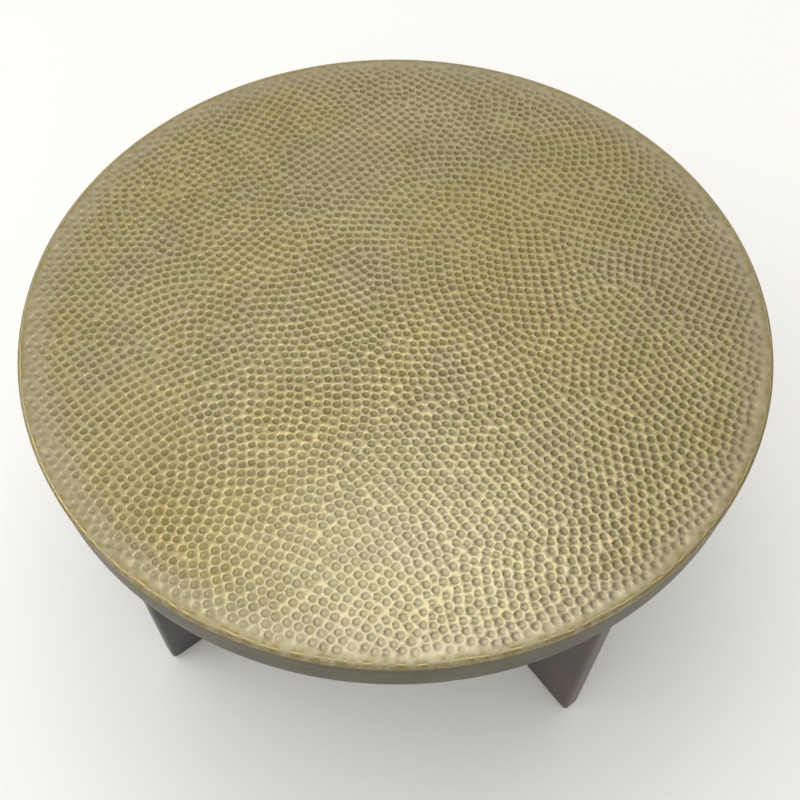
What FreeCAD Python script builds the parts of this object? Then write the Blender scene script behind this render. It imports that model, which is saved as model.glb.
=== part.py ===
import os

import FreeCAD
import Part
import Sketcher

# Round brass tray table, in millimetres.
#
# A hammered brass tray lies on a base of two upright boards that cross at a half-lap.
# Origin: on the floor, under the centre of the tray. +Z is up, and the boards stand along X and Y.
# The tray is a separate body: it lifts straight up off the boards.

doc = FreeCAD.newDocument("BrassTrayTable")

# ---------------------------------------------------------------- driving dimensions

SIZES = [
    # name, size, what it is
    ("top_radius", 381, "outside of the hammered sheet"),
    ("table_height", 432, "floor to the top of the sheet"),
    ("sheet_gauge", 1.2, "thickness of the hammered sheet"),
    ("shoulder_radius", 3.5, "roll where the sheet turns down"),
    ("skirt_drop", 12, "top of the sheet to its turned-down edge"),
    ("band_gauge", 0.9, "thickness of the smooth band"),
    ("band_gap", 0.2, "air between the sheet's skirt and the band"),
    ("band_overlap", 5, "how far the band runs up behind the skirt"),
    ("flange_width", 13, "inward flange under the tray"),
    ("seam_gap", 0.6, "butt seam of the band"),
    ("seam_azimuth", 52.5, "where the seam is, degrees from +X"),
    ("seam_strip_gauge", 0.6, "thickness of the strip soldered over the seam"),
    ("seam_strip_angle", 4, "how far round the strip runs, degrees"),
    ("seam_strip_margin", 1, "strip short of the skirt and of the band's lower edge"),
    ("glue_line", 0.1, "between the core and the band"),
    ("disc_thickness", 22, "each of the two core discs"),
    ("core_corner", 3, "rounding of the upper disc under the shoulder"),
    ("panel_thickness", 3, "underside panel"),
    ("block_side", 60, "locating block, along and across"),
    ("block_drop", 30, "locating block, below the panel"),
    ("block_lead_in", 4, "chamfer round the block's lower end"),
    ("block_clearance", 1, "block to board"),
    ("board_thickness", 22, "each upright board"),
    ("board_reach", 355, "table centre to a board's end"),
    ("board_edge_round", 5, "rounding of a board's upright edges"),
    ("board_foot_round", 2.5, "rounding of a board's lower arris"),
    ("slot_clearance", 0.2, "half-lap slot, each side"),
    ("rest_length", 60, "felt rest pad"),
    ("rest_width", 16, "felt rest pad"),
    ("rest_thickness", 1.5, "felt rest pad"),
    ("rest_corner", 3, "felt rest pad, corner radius"),
    ("rest_circle", 310, "table centre to a rest pad"),
    ("glide_radius", 8, "foot glide"),
    ("glide_thickness", 3, "foot glide"),
    ("glide_chamfer", 0.8, "foot glide, lower edge"),
    ("glide_circle", 333, "table centre to a foot glide"),
    ("hole_clearance", 0.1, "fastener to its hole, each side"),
    ("nail_radius", 1, "glide nail, shank"),
    ("nail_head_radius", 2.5, "glide nail, head"),
    ("nail_head_height", 0.8, "glide nail, head"),
    ("nail_recess", 1.2, "glide's counterbore over the nail head"),
    ("nail_length", 20, "glide nail, shank"),
    ("pin_radius", 0.8, "band pin, shank"),
    ("pin_head_radius", 1.8, "band pin, head at the flange"),
    ("pin_crown_radius", 0.9, "band pin, head at its crown"),
    ("pin_head_height", 0.8, "band pin, head"),
    ("pin_length", 12, "band pin, shank"),
    ("pin_circle", 372.5, "table centre to a band pin"),
    ("pin_count", 24, "band pins"),
    ("screw_radius", 2, "wood screw, shank"),
    ("screw_head_radius", 4, "wood screw, countersunk head"),
    ("screw_head_height", 2.6, "wood screw, countersunk head"),
    ("screw_sink", 1, "wood screw, head below the surface"),
    ("core_screw_length", 34, "core screw"),
    ("core_screw_circle", 300, "table centre to a core screw"),
    ("core_screw_count", 8, "core screws"),
    ("block_screw_length", 45, "block screw"),
    ("block_screw_offset", 14, "block centre to a screw, along each side"),
    ("quarter_turns", 4, "arms of the cross, and blocks, round a full turn"),
]

sheet = doc.addObject("Spreadsheet::Sheet", "Sizes")
for row, (name, size, meaning) in enumerate(SIZES, start=1):
    sheet.set(f"A{row}", meaning)
    sheet.set(f"B{row}", str(size))
    sheet.setAlias(f"B{row}", name)
doc.recompute()

ARMS = int(sheet.quarter_turns)

# Heights above the floor, each worked out from the table height downwards.
SHEET_UNDERSIDE = "(Sizes.table_height - Sizes.sheet_gauge)"
UPPER_DISC_FOOT = f"({SHEET_UNDERSIDE} - Sizes.disc_thickness)"
LOWER_DISC_FOOT = f"({UPPER_DISC_FOOT} - Sizes.disc_thickness)"
PANEL_FOOT = f"({LOWER_DISC_FOOT} - Sizes.panel_thickness)"
BAND_FOOT = f"({PANEL_FOOT} - Sizes.band_gauge)"
SKIRT_FOOT = "(Sizes.table_height - Sizes.skirt_drop)"
BLOCK_FOOT = f"({PANEL_FOOT} - Sizes.block_drop)"
BOARD_TOP = f"({PANEL_FOOT} - Sizes.rest_thickness)"
BOARD_HEIGHT = f"({BOARD_TOP} - Sizes.glide_thickness)"
HALF_LAP = f"({BOARD_HEIGHT} / 2)"

# Radii of the tray's layers, from the outside in.
SHEET_INSIDE = "(Sizes.top_radius - Sizes.sheet_gauge)"
BAND_OUTSIDE = f"({SHEET_INSIDE} - Sizes.band_gap)"
BAND_INSIDE = f"({BAND_OUTSIDE} - Sizes.band_gauge)"
CORE_RADIUS = f"({BAND_INSIDE} - Sizes.glue_line)"
BLOCK_CENTRE = "(Sizes.board_thickness / 2 + Sizes.block_clearance + Sizes.block_side / 2)"


# ---------------------------------------------------------------- how the pieces are drawn

def value(expression):
    """The number that an expression on the sheet gives now."""
    return float(sheet.evalExpression(expression))


def new_body(label, height="0", x="0", y="0", turn=0):
    """A body for one piece, placed in the table's frame."""
    body = doc.addObject("PartDesign::Body", label)
    body.Label = label
    body.AllowCompound = True
    body.Placement.Rotation = FreeCAD.Rotation(FreeCAD.Vector(0, 0, 1), turn)
    body.setExpression("Placement.Base.x", x)
    body.setExpression("Placement.Base.y", y)
    body.setExpression("Placement.Base.z", height)
    return body


def own_origin(body, role):
    """One of the body's own origin planes or axes."""
    return next(item for item in body.Origin.OriginFeatures if item.Role == role)


def new_sketch(body, name, height="0", turn="0"):
    """A sketch on the body's XY plane, raised to a height and turned about Z by degrees."""
    sketch = body.newObject("Sketcher::SketchObject", name)
    sketch.AttachmentSupport = (own_origin(body, "XY_Plane"), [""])
    sketch.MapMode = "FlatFace"
    sketch.setExpression("AttachmentOffset.Base.z", height)
    sketch.setExpression("AttachmentOffset.Rotation.Angle", f"{turn} * 1 deg")
    return sketch


def dimension(sketch, constraint, expression):
    """Add a dimension to a sketch and bind it to the sheet."""
    index = sketch.addConstraint(constraint)
    sketch.setExpression(f"Constraints[{index}]", expression)


def draw_circle(sketch, radius):
    """A circle about the sketch's origin."""
    circle = Part.Circle(FreeCAD.Vector(), FreeCAD.Vector(0, 0, 1), value(radius))
    index = sketch.addGeometry(circle)
    sketch.addConstraint(Sketcher.Constraint("Coincident", index, 3, -1, 1))
    dimension(sketch, Sketcher.Constraint("Radius", index, value(radius)), radius)


def draw_rectangle(sketch, along, across, centre="0"):
    """A rectangle along the sketch's X axis, its centre on that axis."""
    half = value(along) / 2
    side = value(across) / 2
    middle = value(centre)
    corners = [(middle - half, -side), (middle + half, -side), (middle + half, side), (middle - half, side)]
    points = [FreeCAD.Vector(x, y) for x, y in corners]
    edges = [Part.LineSegment(points[i], points[(i + 1) % 4]) for i in range(4)]
    first = sketch.addGeometry(edges)[0]
    for i in range(4):
        sketch.addConstraint(Sketcher.Constraint("Coincident", first + i, 2, first + (i + 1) % 4, 1))
    for i, direction in enumerate(["Horizontal", "Vertical", "Horizontal", "Vertical"]):
        sketch.addConstraint(Sketcher.Constraint(direction, first + i))
    end = middle + half
    dimension(sketch, Sketcher.Constraint("DistanceX", first, 1, first, 2, 2 * half), along)
    dimension(sketch, Sketcher.Constraint("DistanceY", first + 1, 1, first + 1, 2, 2 * side), across)
    dimension(sketch, Sketcher.Constraint("DistanceX", -1, 1, first + 1, 1, end),
              f"{centre} + ({along}) / 2")
    dimension(sketch, Sketcher.Constraint("DistanceY", first + 1, 1, -1, 1, side), f"({across}) / 2")


def volume(body):
    """The body's volume so far, nothing before its first feature."""
    return 0 if body.Shape.isNull() else body.Shape.Volume


def pad(body, name, sketch, thickness):
    """Extrude a sketch upwards."""
    feature = body.newObject("PartDesign::Pad", name)
    feature.Profile = sketch
    feature.setExpression("Length", thickness)
    doc.recompute()
    return feature


def pocket(body, name, sketch, depth, upwards):
    """Cut a sketch down from its plane, or up from it, and make sure that it cuts."""
    before = volume(body)
    feature = body.newObject("PartDesign::Pocket", name)
    feature.Profile = sketch
    feature.Reversed = upwards
    feature.setExpression("Length", depth)
    doc.recompute()
    if volume(body) >= before:
        raise RuntimeError(f"{name} cuts nothing from {body.Label}")
    return feature


def dress(body, kind, name, base, size_name, size, wanted):
    """Fillet or chamfer those edges of a feature that wanted(edge) picks."""
    edges = [f"Edge{i}" for i, edge in enumerate(base.Shape.Edges, start=1) if wanted(edge)]
    feature = body.newObject(f"PartDesign::{kind}", name)
    feature.Base = (base, edges)
    feature.setExpression(size_name, size)
    doc.recompute()
    return feature


def at_height(edge, height):
    """Whether an edge lies level at a height above the body's own origin."""
    box = edge.BoundBox
    return max(abs(box.ZMin - height), abs(box.ZMax - height)) < 0.01


def upright(edge):
    """Whether an edge is a straight vertical one."""
    box = edge.BoundBox
    return box.ZLength > 1 and max(box.XLength, box.YLength) < 0.01


def turned(body, name, radius, foot, height, x="0", y="0", top_radius=None, cut=False):
    """A cylinder, or a cone where top_radius is given, added to the body or cut from it."""
    action = "Subtractive" if cut else "Additive"
    before = volume(body)
    if top_radius:
        feature = body.newObject(f"PartDesign::{action}Cone", name)
        feature.setExpression("Radius1", radius)
        feature.setExpression("Radius2", top_radius)
    else:
        feature = body.newObject(f"PartDesign::{action}Cylinder", name)
        feature.setExpression("Radius", radius)
    feature.setExpression("Height", height)
    feature.setExpression("Placement.Base.x", x)
    feature.setExpression("Placement.Base.y", y)
    feature.setExpression("Placement.Base.z", foot)
    doc.recompute()
    if cut and volume(body) >= before:
        raise RuntimeError(f"{name} cuts nothing from {body.Label}")
    return feature


def round_the_table(body, name, features, count):
    """Repeat features evenly about the table's upright axis."""
    pattern = body.newObject("PartDesign::PolarPattern", name)
    pattern.Originals = features
    pattern.Axis = (own_origin(body, "Z_Axis"), [""])
    pattern.Angle = 360
    pattern.setExpression("Occurrences", count)
    body.Tip = pattern
    doc.recompute()


# ---------------------------------------------------------------- the tray

PINS_AT = "Sizes.pin_circle"
CORE_SCREWS_AT = "Sizes.core_screw_circle"
HOLE = "Sizes.hole_clearance"
BLOCK_SCREWS_AT = [
    (f"{BLOCK_CENTRE} - Sizes.block_screw_offset", f"{BLOCK_CENTRE} + Sizes.block_screw_offset"),
    (f"{BLOCK_CENTRE} + Sizes.block_screw_offset", f"{BLOCK_CENTRE} - Sizes.block_screw_offset"),
]


def hammered_top_sheet():
    """Brass sheet, flat on top, rolled over the rim into a short skirt."""
    body = new_body("hammered_top_sheet", SKIRT_FOOT)
    outline = new_sketch(body, "SheetOutline")
    draw_circle(outline, "Sizes.top_radius")
    pad(body, "SheetBlank", outline, "Sizes.skirt_drop")
    hollow = new_sketch(body, "SheetHollow")
    draw_circle(hollow, SHEET_INSIDE)
    hollow_depth = "Sizes.skirt_drop - Sizes.sheet_gauge"
    inside = pocket(body, "SheetInside", hollow, hollow_depth, upwards=True)
    rolled = dress(body, "Fillet", "SheetInnerShoulder", inside, "Radius",
                   "Sizes.shoulder_radius - Sizes.sheet_gauge",
                   lambda edge: at_height(edge, value(hollow_depth)))
    dress(body, "Fillet", "SheetShoulder", rolled, "Radius", "Sizes.shoulder_radius",
          lambda edge: at_height(edge, value("Sizes.skirt_drop")))


def rim_band():
    """Smooth brass band round the rim, with a flange folded in under the tray."""
    body = new_body("rim_band", BAND_FOOT)
    wall = new_sketch(body, "BandWallRings")
    draw_circle(wall, BAND_OUTSIDE)
    draw_circle(wall, BAND_INSIDE)
    pad(body, "BandWall", wall, f"{SKIRT_FOOT} + Sizes.band_overlap - {BAND_FOOT}")
    flange = new_sketch(body, "BandFlangeRings")
    draw_circle(flange, BAND_OUTSIDE)
    draw_circle(flange, f"{BAND_OUTSIDE} - Sizes.flange_width")
    pad(body, "BandFlange", flange, "Sizes.band_gauge")
    seam = new_sketch(body, "BandSeamSlit", turn="Sizes.seam_azimuth")
    draw_rectangle(seam, "2 * Sizes.flange_width", "Sizes.seam_gap", BAND_INSIDE)
    pocket(body, "BandSeam", seam, "Sizes.table_height", upwards=True)
    hole = turned(body, "BandPinHole", f"Sizes.pin_radius + {HOLE}", "0", "Sizes.band_gauge",
                  x=PINS_AT, cut=True)
    round_the_table(body, "BandPinHoles", [hole], "Sizes.pin_count")


def band_seam_strip():
    """Short brass strip soldered over the band's butt seam, at the back."""
    solids = []
    for name, radius in [("SeamStripOutside", f"{BAND_OUTSIDE} + Sizes.seam_strip_gauge"),
                         ("SeamStripInside", BAND_OUTSIDE)]:
        sector = doc.addObject("Part::Cylinder", name)
        sector.setExpression("Radius", radius)
        sector.setExpression("Angle", "Sizes.seam_strip_angle * 1 deg")
        sector.setExpression("Height", f"{SKIRT_FOOT} - {BAND_FOOT} - 2 * Sizes.seam_strip_margin")
        solids.append(sector)
    strip = doc.addObject("Part::Cut", "band_seam_strip")
    strip.Label = "band_seam_strip"
    strip.Base, strip.Tool = solids
    strip.setExpression("Placement.Base.z", f"{BAND_FOOT} + Sizes.seam_strip_margin")
    strip.setExpression("Placement.Rotation.Angle",
                        "(Sizes.seam_azimuth - Sizes.seam_strip_angle / 2) * 1 deg")


def band_pins():
    """Small brass pins that hold the flange up against the core, all alike."""
    body = new_body("band_pins")
    shank_foot = BAND_FOOT
    head = turned(body, "PinHead", "Sizes.pin_crown_radius", f"{shank_foot} - Sizes.pin_head_height",
                  "Sizes.pin_head_height", x=PINS_AT, top_radius="Sizes.pin_head_radius")
    shank = turned(body, "PinShank", "Sizes.pin_radius", shank_foot, "Sizes.pin_length", x=PINS_AT)
    round_the_table(body, "AllPins", [head, shank], "Sizes.pin_count")


def upper_core_disc():
    """Plywood disc under the sheet, its upper edge rounded to suit the shoulder."""
    body = new_body("upper_core_disc", UPPER_DISC_FOOT)
    outline = new_sketch(body, "UpperDiscOutline")
    draw_circle(outline, CORE_RADIUS)
    blank = pad(body, "UpperDiscBlank", outline, "Sizes.disc_thickness")
    top = value("Sizes.disc_thickness")
    dress(body, "Fillet", "UpperDiscEdge", blank, "Radius", "Sizes.core_corner",
          lambda edge: at_height(edge, top))
    reach = f"{LOWER_DISC_FOOT} + Sizes.screw_sink + Sizes.core_screw_length - {UPPER_DISC_FOOT} + {HOLE}"
    hole = turned(body, "UpperDiscScrewHole", f"Sizes.screw_radius + {HOLE}", "0", reach,
                  x=CORE_SCREWS_AT, cut=True)
    round_the_table(body, "UpperDiscScrewHoles", [hole], "Sizes.core_screw_count")


def lower_core_disc():
    """Plywood disc glued and screwed up to the first."""
    body = new_body("lower_core_disc", LOWER_DISC_FOOT)
    outline = new_sketch(body, "LowerDiscOutline")
    draw_circle(outline, CORE_RADIUS)
    pad(body, "LowerDiscBlank", outline, "Sizes.disc_thickness")

    wide = f"Sizes.screw_head_radius + {HOLE}"
    narrow = f"Sizes.screw_radius + {HOLE}"
    mouth = turned(body, "CoreScrewMouth", wide, "0", "Sizes.screw_sink", x=CORE_SCREWS_AT, cut=True)
    sink = turned(body, "CoreScrewSink", wide, "Sizes.screw_sink", "Sizes.screw_head_height",
                  x=CORE_SCREWS_AT, top_radius=narrow, cut=True)
    shaft = turned(body, "CoreScrewShaft", narrow, "Sizes.screw_sink + Sizes.screw_head_height",
                   "Sizes.disc_thickness", x=CORE_SCREWS_AT, cut=True)
    round_the_table(body, "CoreScrewHoles", [mouth, sink, shaft], "Sizes.core_screw_count")

    depth = f"{BAND_FOOT} + Sizes.pin_length - {LOWER_DISC_FOOT} + {HOLE}"
    hole = turned(body, "LowerDiscPinHole", f"Sizes.pin_radius + {HOLE}", "0", depth, x=PINS_AT, cut=True)
    round_the_table(body, "LowerDiscPinHoles", [hole], "Sizes.pin_count")

    depth = f"{BLOCK_FOOT} + Sizes.screw_sink + Sizes.block_screw_length - {LOWER_DISC_FOOT} + {HOLE}"
    holes = [turned(body, f"LowerDiscBlockHole{i}", narrow, "0", depth, x=x, y=y, cut=True)
             for i, (x, y) in enumerate(BLOCK_SCREWS_AT, start=1)]
    round_the_table(body, "LowerDiscBlockHoles", holes, "Sizes.quarter_turns")


def core_screws():
    """Countersunk wood screws that hold the two discs together, all alike."""
    body = new_body("core_screws")
    foot = f"{LOWER_DISC_FOOT} + Sizes.screw_sink"
    head = turned(body, "CoreScrewHead", "Sizes.screw_head_radius", foot, "Sizes.screw_head_height",
                  x=CORE_SCREWS_AT, top_radius="Sizes.screw_radius")
    shank = turned(body, "CoreScrewShank", "Sizes.screw_radius", f"{foot} + Sizes.screw_head_height",
                   "Sizes.core_screw_length - Sizes.screw_head_height", x=CORE_SCREWS_AT)
    round_the_table(body, "AllCoreScrews", [head, shank], "Sizes.core_screw_count")


def underside_panel():
    """Thin painted panel that closes the tray from below, its edge held by the flange."""
    body = new_body("underside_panel", PANEL_FOOT)
    outline = new_sketch(body, "PanelOutline")
    draw_circle(outline, CORE_RADIUS)
    pad(body, "PanelBlank", outline, "Sizes.panel_thickness")
    hole = turned(body, "PanelPinHole", f"Sizes.pin_radius + {HOLE}", "0", "Sizes.panel_thickness",
                  x=PINS_AT, cut=True)
    round_the_table(body, "PanelPinHoles", [hole], "Sizes.pin_count")
    holes = [turned(body, f"PanelBlockHole{i}", f"Sizes.screw_radius + {HOLE}", "0",
                    "Sizes.panel_thickness", x=x, y=y, cut=True)
             for i, (x, y) in enumerate(BLOCK_SCREWS_AT, start=1)]
    round_the_table(body, "PanelBlockHoles", holes, "Sizes.quarter_turns")


def locating_blocks():
    """Four hardwood blocks, one in each corner of the crossed boards, that stop the tray from sliding."""
    signs = [(1, 1), (-1, 1), (-1, -1), (1, -1)]
    for number, (x_sign, y_sign) in enumerate(signs, start=1):
        quarter_turn = 360 / ARMS
        body = new_body(f"locating_block_{number}", BLOCK_FOOT, x=f"{x_sign} * {BLOCK_CENTRE}",
                        y=f"{y_sign} * {BLOCK_CENTRE}", turn=quarter_turn * (number - 1))
        outline = new_sketch(body, f"BlockOutline{number}")
        draw_rectangle(outline, "Sizes.block_side", "Sizes.block_side")
        blank = pad(body, f"BlockBlank{number}", outline, "Sizes.block_drop")
        dress(body, "Chamfer", f"BlockLeadIn{number}", blank, "Size", "Sizes.block_lead_in",
              lambda edge: at_height(edge, 0))
        wide = f"Sizes.screw_head_radius + {HOLE}"
        narrow = f"Sizes.screw_radius + {HOLE}"
        for side in (-1, 1):
            x = f"{side} * Sizes.block_screw_offset"
            y = f"{-side} * Sizes.block_screw_offset"
            tag = f"{number}_{side + 2}"
            turned(body, f"BlockMouth{tag}", wide, "0", "Sizes.screw_sink", x=x, y=y, cut=True)
            turned(body, f"BlockSink{tag}", wide, "Sizes.screw_sink", "Sizes.screw_head_height",
                   x=x, y=y, top_radius=narrow, cut=True)
            turned(body, f"BlockShaft{tag}", narrow, "Sizes.screw_sink + Sizes.screw_head_height",
                   "Sizes.block_drop", x=x, y=y, cut=True)


def block_screws():
    """Countersunk wood screws, two to a block, all alike."""
    body = new_body("block_screws")
    foot = f"{BLOCK_FOOT} + Sizes.screw_sink"
    parts = []
    for i, (x, y) in enumerate(BLOCK_SCREWS_AT, start=1):
        parts.append(turned(body, f"BlockScrewHead{i}", "Sizes.screw_head_radius", foot,
                            "Sizes.screw_head_height", x=x, y=y, top_radius="Sizes.screw_radius"))
        parts.append(turned(body, f"BlockScrewShank{i}", "Sizes.screw_radius",
                            f"{foot} + Sizes.screw_head_height",
                            "Sizes.block_screw_length - Sizes.screw_head_height", x=x, y=y))
    round_the_table(body, "AllBlockScrews", parts, "Sizes.quarter_turns")


# ---------------------------------------------------------------- the base

def cross_board(label, quarter_turns, slot_from_top):
    """An upright board, slotted to half its height where it crosses the other one."""
    body = new_body(label, "Sizes.glide_thickness", turn=360 / ARMS * quarter_turns)
    outline = new_sketch(body, f"Plan_{label}")
    draw_rectangle(outline, "2 * Sizes.board_reach", "Sizes.board_thickness")
    blank = pad(body, f"Blank_{label}", outline, BOARD_HEIGHT)
    rounded = dress(body, "Fillet", f"UprightEdges_{label}", blank, "Radius",
                    "Sizes.board_edge_round", upright)
    dress(body, "Fillet", f"LowerArris_{label}", rounded, "Radius", "Sizes.board_foot_round",
          lambda edge: at_height(edge, 0))

    slot = new_sketch(body, f"SlotPlan_{label}", BOARD_HEIGHT if slot_from_top else "0")
    width = "Sizes.board_thickness + 2 * Sizes.slot_clearance"
    draw_rectangle(slot, width, width)
    pocket(body, f"Slot_{label}", slot, f"{HALF_LAP} + Sizes.slot_clearance", upwards=not slot_from_top)

    for end in (-1, 1):
        turned(body, f"NailHole_{label}_{end + 2}", f"Sizes.nail_radius + {HOLE}", "0",
               f"Sizes.nail_length + {HOLE}", x=f"{end} * Sizes.glide_circle", cut=True)


def on_each_arm(distance, height, label):
    """A body at one distance along each arm of the cross, numbered from +X."""
    for number, (x_sign, y_sign) in enumerate([(1, 0), (0, 1), (-1, 0), (0, -1)], start=1):
        yield number, new_body(f"{label}_{number}", height, x=f"{x_sign} * {distance}",
                               y=f"{y_sign} * {distance}", turn=360 / ARMS * (number - 1))


def rest_pads():
    """Thin felt pads on the boards' top edges, which the tray lies on."""
    for number, body in on_each_arm("Sizes.rest_circle", BOARD_TOP, "rest_pad"):
        outline = new_sketch(body, f"RestPlan{number}")
        draw_rectangle(outline, "Sizes.rest_length", "Sizes.rest_width")
        blank = pad(body, f"RestBlank{number}", outline, "Sizes.rest_thickness")
        dress(body, "Fillet", f"RestCorners{number}", blank, "Radius", "Sizes.rest_corner", upright)


def foot_glides():
    """Nylon glides under the boards' ends, each with a counterbore for its nail."""
    for number, body in on_each_arm("Sizes.glide_circle", "0", "foot_glide"):
        outline = new_sketch(body, f"GlidePlan{number}")
        draw_circle(outline, "Sizes.glide_radius")
        blank = pad(body, f"GlideBlank{number}", outline, "Sizes.glide_thickness")
        dress(body, "Chamfer", f"GlideEdge{number}", blank, "Size", "Sizes.glide_chamfer",
              lambda edge: at_height(edge, 0))
        turned(body, f"GlideRecess{number}", f"Sizes.nail_head_radius + {HOLE}", "0", "Sizes.nail_recess",
               cut=True)
        turned(body, f"GlideHole{number}", f"Sizes.nail_radius + {HOLE}", "Sizes.nail_recess",
               "Sizes.glide_thickness", cut=True)


def glide_nails():
    """The nails that hold the glides, all alike."""
    body = new_body("glide_nails")
    at = "Sizes.glide_circle"
    head = turned(body, "NailHead", "Sizes.nail_head_radius", "Sizes.nail_recess - Sizes.nail_head_height",
                  "Sizes.nail_head_height", x=at)
    shank = turned(body, "NailShank", "Sizes.nail_radius", "Sizes.nail_recess",
                   "Sizes.glide_thickness - Sizes.nail_recess + Sizes.nail_length", x=at)
    round_the_table(body, "AllNails", [head, shank], "Sizes.quarter_turns")


# ---------------------------------------------------------------- build, check and write

hammered_top_sheet()
rim_band()
band_seam_strip()
band_pins()
upper_core_disc()
lower_core_disc()
core_screws()
underside_panel()
locating_blocks()
block_screws()
cross_board("lower_cross_board", quarter_turns=0, slot_from_top=True)
cross_board("upper_cross_board", quarter_turns=1, slot_from_top=False)
rest_pads()
foot_glides()
glide_nails()
doc.recompute()

for item in doc.Objects:
    if "Invalid" in item.State or "Error" in item.State:
        raise RuntimeError(f"{item.Label} failed: {item.State}")

pieces = [item for item in doc.Objects
          if item.isDerivedFrom("PartDesign::Body") or item.TypeId == "Part::Cut"]
for piece in pieces:
    if piece.Shape.isNull() or not piece.Shape.isValid():
        raise RuntimeError(f"{piece.Label} has no valid shape")

os.makedirs("parts", exist_ok=True)
for piece in pieces:
    piece.Shape.exportStep(f"parts/{piece.Label}.step")
    box = piece.Shape.BoundBox
    print(f"{piece.Label:20s} {len(piece.Shape.Solids):3d} solids {piece.Shape.Volume / 1000:10.2f} cm3"
          f"  z {box.ZMin:7.2f} to {box.ZMax:7.2f}")
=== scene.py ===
"""Brass tray table: a hammered brass tray on a base of two crossed boards.

The sections follow the table as it is put together: the studio, the crossed boards and what is fixed to
them, then the tray from its core outwards to the hammered sheet. Lengths are in metres, with the origin on
the floor under the middle of the tray.
"""
import math
import random

import bpy
from mathutils import Matrix, Vector, kdtree, noise
from mathutils.geometry import delaunay_2d_cdt


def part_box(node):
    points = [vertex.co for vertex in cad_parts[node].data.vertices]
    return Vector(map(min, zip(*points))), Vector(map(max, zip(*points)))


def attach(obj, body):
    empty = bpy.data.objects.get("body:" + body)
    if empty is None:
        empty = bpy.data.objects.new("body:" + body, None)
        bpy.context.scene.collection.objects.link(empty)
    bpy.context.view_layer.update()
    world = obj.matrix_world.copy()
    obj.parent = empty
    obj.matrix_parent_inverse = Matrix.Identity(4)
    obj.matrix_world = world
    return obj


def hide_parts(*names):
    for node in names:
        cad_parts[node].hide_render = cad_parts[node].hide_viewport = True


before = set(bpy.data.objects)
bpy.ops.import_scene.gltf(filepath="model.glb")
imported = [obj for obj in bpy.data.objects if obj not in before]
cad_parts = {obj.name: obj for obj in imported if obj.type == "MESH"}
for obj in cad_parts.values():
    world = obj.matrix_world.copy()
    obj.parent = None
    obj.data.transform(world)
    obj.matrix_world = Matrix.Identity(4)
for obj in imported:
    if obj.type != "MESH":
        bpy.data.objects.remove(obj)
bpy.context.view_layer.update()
bpy.ops.object.select_all(action="DESELECT")
bpy.context.scene.view_settings.view_transform = "Standard"


# ---- Studio ------------------------------------------------------------------------------------------
# A view down on the table from chest height in front of it, with a large soft light over its far side, a
# wider one further off on the left, and a pale floor.
CAMERA_PLACE = Vector((-0.408, -0.529, 1.281))
CAMERA_DOWN = math.radians(57.01)
CAMERA_TURN = math.radians(-38.06)
CAMERA_ROLL = math.radians(0.70)
CAMERA_LENS = 47.25

camera_data = bpy.data.cameras.new("standing_view")
camera_data.lens = CAMERA_LENS
camera = bpy.data.objects.new("standing_view", camera_data)
bpy.context.scene.collection.objects.link(camera)
camera.matrix_world = (
    Matrix.Translation(CAMERA_PLACE)
    @ Matrix.Rotation(CAMERA_TURN, 4, "Z")
    @ Matrix.Rotation(math.pi / 2 - CAMERA_DOWN, 4, "X")
    @ Matrix.Rotation(CAMERA_ROLL, 4, "Z")
)
bpy.context.scene.camera = camera


def soft_light(name, place, aim, width, power, colour):
    """A large square studio light at place, turned towards aim."""
    light = bpy.data.lights.new(name, "AREA")
    light.size = width
    light.energy = power
    light.color = colour
    stand = bpy.data.objects.new(name, light)
    bpy.context.scene.collection.objects.link(stand)
    stand.location = place
    stand.rotation_euler = (Vector(aim) - Vector(place)).to_track_quat("-Z", "Y").to_euler()


soft_light("overhead_softbox", (0.22, 0.28, 2.40), (-0.05, -0.07, 0.43), 0.9, 5.5, (1.0, 0.99, 0.97))
soft_light("left_softbox", (-1.75, 1.30, 1.95), (0.0, 0.0, 0.4), 1.6, 12, (0.97, 0.985, 1.0))


def tint(code):
    """A colour card's sRGB hex code as the linear colour that a shader takes."""
    shares = [int(code[place:place + 2], 16) / 255 for place in (1, 3, 5)]
    return (*(s / 12.92 if s <= 0.04045 else ((s + 0.055) / 1.055) ** 2.4 for s in shares), 1.0)


def new_finish(name):
    """An empty material, to be filled with nodes."""
    made = bpy.data.materials.new(name)
    made.use_nodes = True
    made.node_tree.nodes.clear()
    return made


def add(finish, kind, sockets, **settings):
    """Adds one node to a finish, with its settings. Each socket takes a value or another node's output."""
    made = finish.node_tree.nodes.new("ShaderNode" + kind)
    for setting, value in settings.items():
        setattr(made, setting, value)
    for socket, value in sockets.items():
        if isinstance(value, bpy.types.NodeSocket):
            finish.node_tree.links.new(value, made.inputs[socket])
        else:
            made.inputs[socket].default_value = value
    return made.outputs


def dress(piece, finish):
    """Puts one finish on the whole of a piece."""
    piece.data.materials.clear()
    piece.data.materials.append(finish)


# The studio's air: an even pale sheet overhead, a little dimmer towards the floor line, and much dimmer
# high up on the right side, so that every hollow in the brass has a dark side and a light side.
studio_air = bpy.data.worlds.new("studio_air")
studio_air.use_nodes = True
studio_air.node_tree.nodes.clear()
way = add(studio_air, "TexCoord", {})["Generated"]
to_right = (math.cos(CAMERA_TURN), math.sin(CAMERA_TURN), 0.0)
rightness = add(studio_air, "VectorMath", {0: way, 1: to_right}, operation="DOT_PRODUCT")["Value"]
side = add(studio_air, "MapRange", {"Value": rightness, "From Min": 0.32, "From Max": 0.84, "To Min": 1.05,
                                    "To Max": 0.20})["Result"]
height = add(studio_air, "SeparateXYZ", {"Vector": way})["Z"]
rise = add(studio_air, "MapRange", {"Value": height, "From Min": 0.00, "From Max": 0.55, "To Min": 0.72,
                                    "To Max": 1.08}, interpolation_type="SMOOTHSTEP")["Result"]
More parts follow.
